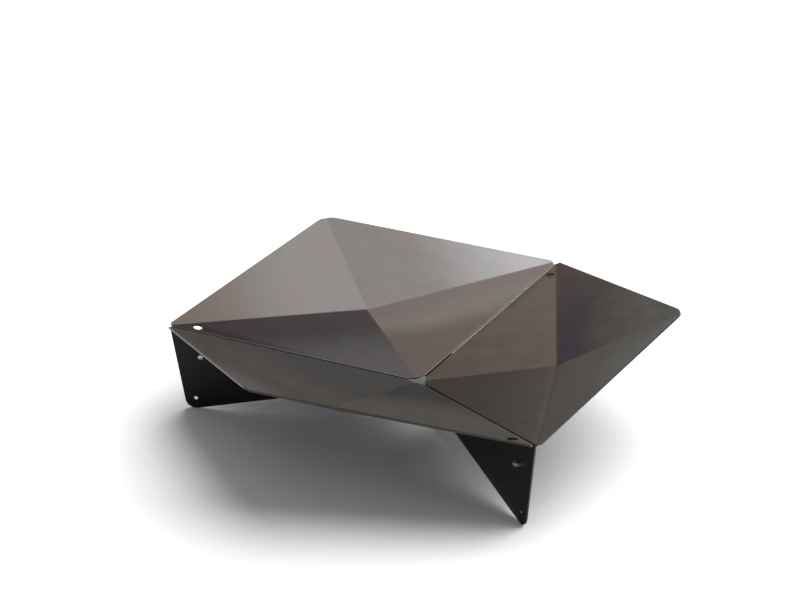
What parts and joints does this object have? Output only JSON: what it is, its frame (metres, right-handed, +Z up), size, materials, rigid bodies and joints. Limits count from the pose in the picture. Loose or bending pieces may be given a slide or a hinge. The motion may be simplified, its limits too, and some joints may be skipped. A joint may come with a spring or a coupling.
{
  "type": "fire bowl",
  "caption": "Low, wide fire bowl of folded sheet steel panels bolted to flat leg plates on edge, with a small drain gap in the middle.",
  "frame": {"origin": "on the ground under the bowl's axis", "axes": "+Z up along the bowl's axis, -X out along leg 1, whose plate lies in the XZ plane; leg 2 points 60 degrees and leg 3 minus 60 degrees from +X"},
  "size_m": [0.9032, 0.7956, 0.2321],
  "materials": {
    "bowl_steel": "bare mill steel, dull, with faint brown, violet and green heat tints",
    "leg_paint": "satin black paint",
    "zinc": "bright zinc plate"
  },
  "bodies": {
    "root": {"bowl_panel_1": "bowl_steel", "bowl_panel_2": "bowl_steel", "bowl_panel_3": "bowl_steel", "leg_1": "leg_paint", "leg_1_inner_bolt": "zinc", "leg_1_inner_nut": "zinc", "leg_1_outer_bolt": "zinc", "leg_1_outer_nut": "zinc", "leg_1_upper_bolt": "zinc", "leg_1_upper_nut": "zinc", "leg_2": "leg_paint", "leg_2_inner_bolt": "zinc", "leg_2_inner_nut": "zinc", "leg_2_outer_bolt": "zinc", "leg_2_outer_nut": "zinc", "leg_2_upper_bolt": "zinc", "leg_2_upper_nut": "zinc", "leg_3": "leg_paint", "leg_3_inner_bolt": "zinc", "leg_3_inner_nut": "zinc", "leg_3_outer_bolt": "zinc", "leg_3_outer_nut": "zinc", "leg_3_upper_bolt": "zinc", "leg_3_upper_nut": "zinc"}
  },
  "joints": []
}
